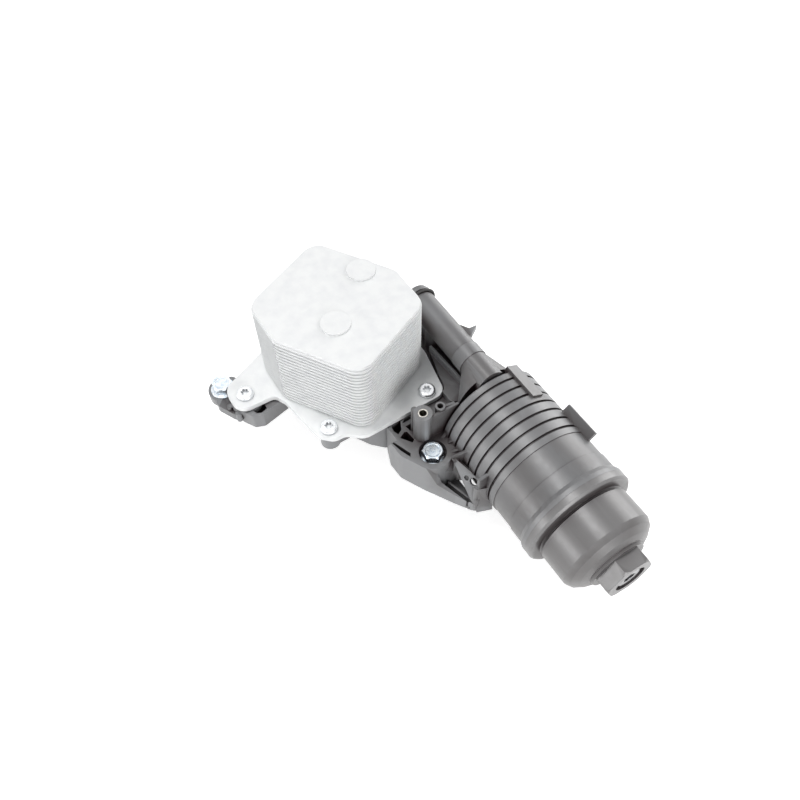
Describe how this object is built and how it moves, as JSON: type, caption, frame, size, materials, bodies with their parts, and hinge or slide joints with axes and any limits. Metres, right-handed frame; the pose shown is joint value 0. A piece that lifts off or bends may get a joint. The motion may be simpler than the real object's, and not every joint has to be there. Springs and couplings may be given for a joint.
{
  "type": "oil filter housing",
  "caption": "Moulded oil filter housing with a ribbed bowl, a screw cap with drain plug, a pleated cartridge and a stacked-plate oil cooler.",
  "frame": {"origin": "centre of the main bolt's hole at the face that meets the engine", "axes": "+X along the filter bowl towards its screw cap, +Z away from the engine, +Y from the main bolt towards the bowl"},
  "size_m": [0.3003, 0.2003, 0.1178],
  "materials": {
    "housing_nylon": "glass-filled nylon, moulded, slightly rough",
    "cap_nylon": "glass-filled nylon, moulded, slightly rough",
    "plug_steel": "zinc plated, turned",
    "cooler_alloy": "brazed aluminium, satin",
    "rubber": "smooth moulded rubber",
    "paper": "resin-treated filter paper",
    "filter_plastic": "moulded plastic",
    "standpipe_plastic": "moulded plastic",
    "valve_steel": "stamped steel",
    "screw_steel": "zinc plated",
    "bolt_steel": "zinc plated, bright",
    "brass": "knurled"
  },
  "bodies": {
    "housing": {"filter_housing": "housing_nylon", "standpipe": "standpipe_plastic", "bypass_valve_seat": "standpipe_plastic", "bypass_spring": "valve_steel", "check_valve_seat": "standpipe_plastic", "check_valve_spring": "valve_steel", "pipe_seal_ring": "rubber", "cooler_gasket": "rubber", "cooler_base_plate": "cooler_alloy", "cooler_plates": "cooler_alloy", "cooler_top_plate": "cooler_alloy", "cooler_screws": "screw_steel", "screw_inserts": "brass", "tower_insert": "brass", "mounting_bolts": "bolt_steel", "bolt_sleeves": "bolt_steel", "port_seals": "rubber"},
    "filter_element": {"filter_media": "paper", "filter_end_cap_inner": "filter_plastic", "filter_end_cap_outer": "filter_plastic", "filter_core": "filter_plastic", "filter_spigot_seal": "rubber"},
    "cap": {"filter_cap": "cap_nylon", "cap_seal_ring": "rubber"},
    "plug_seal": {"drain_plug_seal": "rubber"},
    "plug": {"drain_plug": "plug_steel"},
    "bypass_poppet": {"bypass_poppet": "valve_steel"},
    "check_disc": {"check_valve_disc": "rubber"}
  },
  "joints": [
    {"name": "cap_travel", "type": "slide", "parent": "housing", "child": "filter_element", "axis": [1, 0, 0], "range_m": [0, 0.012]},
    {"name": "cap_turn", "type": "hinge", "parent": "filter_element", "child": "cap", "pos_m": [0.086, 0.053, 0.026], "axis": [1, 0, 0], "range_deg": [0, 1080]},
    {"name": "plug_travel", "type": "slide", "parent": "cap", "child": "plug_seal", "axis": [1, 0, 0], "range_m": [0, 0.008]},
    {"name": "plug_turn", "type": "hinge", "parent": "plug_seal", "child": "plug", "pos_m": [0.1393, 0.053, 0.026], "axis": [1, 0, 0], "range_deg": [0, 1920]},
    {"name": "bypass_lift", "type": "slide", "parent": "housing", "child": "bypass_poppet", "axis": [-1, 0, 0], "range_m": [0, 0.0035], "stiffness_N_per_m": 600, "springref_m": -0.012, "deforming": ["bypass_spring"]},
    {"name": "check_lift", "type": "slide", "parent": "housing", "child": "check_disc", "axis": [1, 0, 0], "range_m": [0, 0.002], "stiffness_N_per_m": 60, "springref_m": -0.003, "deforming": ["check_valve_spring"]}
  ],
  "couplings": [
    {"joint": "cap_turn", "follows": "cap_travel", "rad_per_m": 1570.8},
    {"joint": "plug_turn", "follows": "plug_travel", "rad_per_m": 4188.8}
  ]
}
